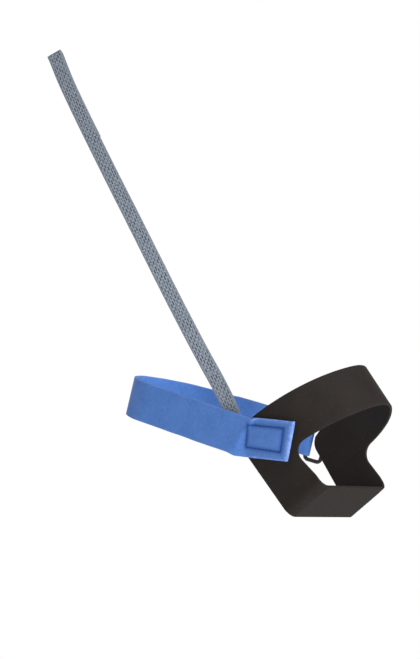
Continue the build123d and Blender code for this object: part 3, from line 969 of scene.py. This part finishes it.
def ribbon_pieces(finish):
    """The ribbon up the leg, and its end folded over the sock's top and tucked down inside."""
    stops = [0.0] + spread(0, 1, 240)
    lower, run = ribbon_strip("ribbon_up_leg", lambda s: through(ribbon_knots, s), stops, 0, finish)
    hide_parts("ribbon_root", "conductive_ribbon")
    bend = ribbon_up * 5
    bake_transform(lower, "cup", "ribbon", start=(HINGE - bend) * MM, end=(HINGE + bend) * MM)

    leg_out = Matrix.Rotation(radians(RIBBON_TWIST), 3, "Z") @ out_y
    top = ribbon_top + ribbon_up * 2
    centre = top - leg_out * HAIRPIN_RADIUS
    inner_start = top - leg_out * 2 * HAIRPIN_RADIUS
    behind = leg_out * 2 * HAIRPIN_RADIUS - ribbon_across * 0.3
    tip = up_leg[-2].lerp(up_leg[-3], 0.7)
    inner_knots = [inner_start] + [knot - behind for knot in (up_leg[-1], up_leg[-2], tip)]

    def over_top(stop):
        kind, value = stop
        if kind == "turn":
            return centre + leg_out * HAIRPIN_RADIUS * cos(value) + ribbon_up * HAIRPIN_RADIUS * sin(value)
        if kind == "outside":
            return top - ribbon_up * value
        return through(inner_knots, value)

    turns = [("outside", 2.0), ("outside", 1.0), ("outside", 0.0)]
    turns += [("turn", angle) for angle in spread(0, pi, 16)]
    turns += [("inside", share) for share in spread(0, 1, 42)]
    upper, end = ribbon_strip("ribbon_over_sock_top", over_top, turns, run, finish)
    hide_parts("ribbon_tucked_end")
    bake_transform(upper, "ribbon", "tuck", start=(centre + leg_out * HAIRPIN_RADIUS) * MM,
             end=(centre - leg_out * HAIRPIN_RADIUS) * MM)


# Build -------------------------------------------------------------------------------------------

rubber = rubber_finish()
webbing = strap_finish()
box_thread = thread_finish("blue thread", (0.016, 0.060, 0.30, 1), (0.008, 0.032, 0.18, 1))
weave = ribbon_finish()
hook_nylon = plain_finish("hook tape", (0.030, 0.030, 0.034, 1), (0.018, 0.018, 0.020, 1), 0.45,
                          900, 0.05)
ring_plastic = plain_finish("ring plastic", (0.022, 0.022, 0.024, 1), (0.014, 0.014, 0.015, 1), 0.38,
                            1200, 0.02)
ceramic = plain_finish("resistor body", (0.52, 0.44, 0.31, 1), (0.43, 0.35, 0.23, 1), 0.4, 1500, 0.01)
tinned = plain_finish("tinned steel", (0.62, 0.61, 0.59, 1), (0.50, 0.49, 0.47, 1), 0.32, 1800, 0.01,
                      metallic=1.0)
sleeve = plain_finish("shrink sleeve", (0.020, 0.020, 0.021, 1), (0.012, 0.012, 0.013, 1), 0.42, 700,
                      0.03)

rubber_cup(rubber)
strap_cloth(webbing)
strap_tail(webbing)
ring_keeper(webbing)
hook_patch(hook_nylon)
ribbon_pieces(weave)

tab_thread = stitched_outline("tab_box_thread", BOX, on_outer_cloth, tab_out, box_thread, "cup",
                              length=2.5, radius=0.44)
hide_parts("tab_box_stitching")

keeper_box = [(-KEEPER_LENGTH + 2, 4.5), (-10.5, 4.5), (-10.5, -4.5), (-KEEPER_LENGTH + 2, -4.5)]
keeper_thread = stitched_outline("keeper_thread", keeper_box, on_keeper, far_out, box_thread, "cup")
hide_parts("keeper_stitching")

patch_box = [(1.5, 9.5), (PATCH_LENGTH - 1.5, 9.5), (PATCH_LENGTH - 1.5, -9.5), (1.5, -9.5)]
patch_thread = stitched_outline("patch_thread", patch_box, on_tail, run_out, box_thread, "tail")
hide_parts("patch_stitching")

kept_nodes = {"strap_ring": ring_plastic, "resistor_barrel": ceramic, "resistor_end_caps": tinned,
              "resistor_ribbon_lead": tinned, "resistor_cup_lead": tinned,
              "resistor_sleeve": sleeve, "ribbon_staple": tinned, "cup_staple": tinned}
for name, finish in kept_nodes.items():
    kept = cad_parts[name]
    if not kept.material_slots:
        kept.data.materials.append(finish)
    for material_slot in kept.material_slots:
        material_slot.material = finish


# Studio ------------------------------------------------------------------------------------------

def studio():
    """White surroundings, a pale floor well below the object, and four soft lamps."""
    world = bpy.data.worlds.new("studio")
    bpy.context.scene.world = world
    world.use_nodes = True
    tree = world.node_tree
    sky = tree.nodes["Background"]
    sky.inputs["Color"].default_value = (1.0, 1.0, 1.0, 1)
    seen = node(tree, "LightPath").outputs["Is Camera Ray"]
    tree.links.new(fit(tree, seen, 0, 1, SOFT_LIGHT, 1.0), sky.inputs["Strength"])

    bpy.ops.mesh.primitive_plane_add(size=60, location=(0, 0, FLOOR_HEIGHT))
    floor = bpy.context.object
    floor.name = "studio_floor"
    paper, tree, shader = new_finish("studio paper", 0.9, 0.1)
    shade = blend_colours(tree, fibre(tree, object_space(tree), 3, 2), (0.80, 0.81, 0.82, 1),
                          (0.84, 0.85, 0.86, 1))
    dress(tree, shader, shade)
    floor.data.materials.append(paper)

    middle = Vector((0, 0, 0.12))
    for name, spot, size, power in LAMPS:
        lamp_data = bpy.data.lights.new(name, "AREA")
        lamp_data.size = size
        lamp_data.energy = power
        lamp = bpy.data.objects.new(name, lamp_data)
        bpy.context.scene.collection.objects.link(lamp)
        lamp.location = spot
        lamp.rotation_euler = (middle - lamp.location).to_track_quat("-Z", "Y").to_euler()


def camera():
    """A long lens low beside the heel, looking up and forwards."""
    data = bpy.data.cameras.new("camera")
    view = bpy.data.objects.new("camera", data)
    bpy.context.scene.collection.objects.link(view)
    right = Vector((-0.668417, -0.562119, -0.487074))
    up = Vector((-0.625694, 0.070885, 0.776841))
    back = Vector((-0.402151, 0.824013, -0.399095))
    turn = Matrix((right, up, back)).transposed().to_4x4()
    turn.translation = Vector((-0.591365, 1.237225, -0.451105))
    view.matrix_world = turn
    data.lens = 125.17
    data.sensor_width = 36
    data.sensor_fit = "AUTO"
    data.dof.use_dof = False
    data.clip_end = 50
    bpy.context.scene.camera = view


studio()
camera()
bpy.context.scene.view_settings.view_transform = "Standard"
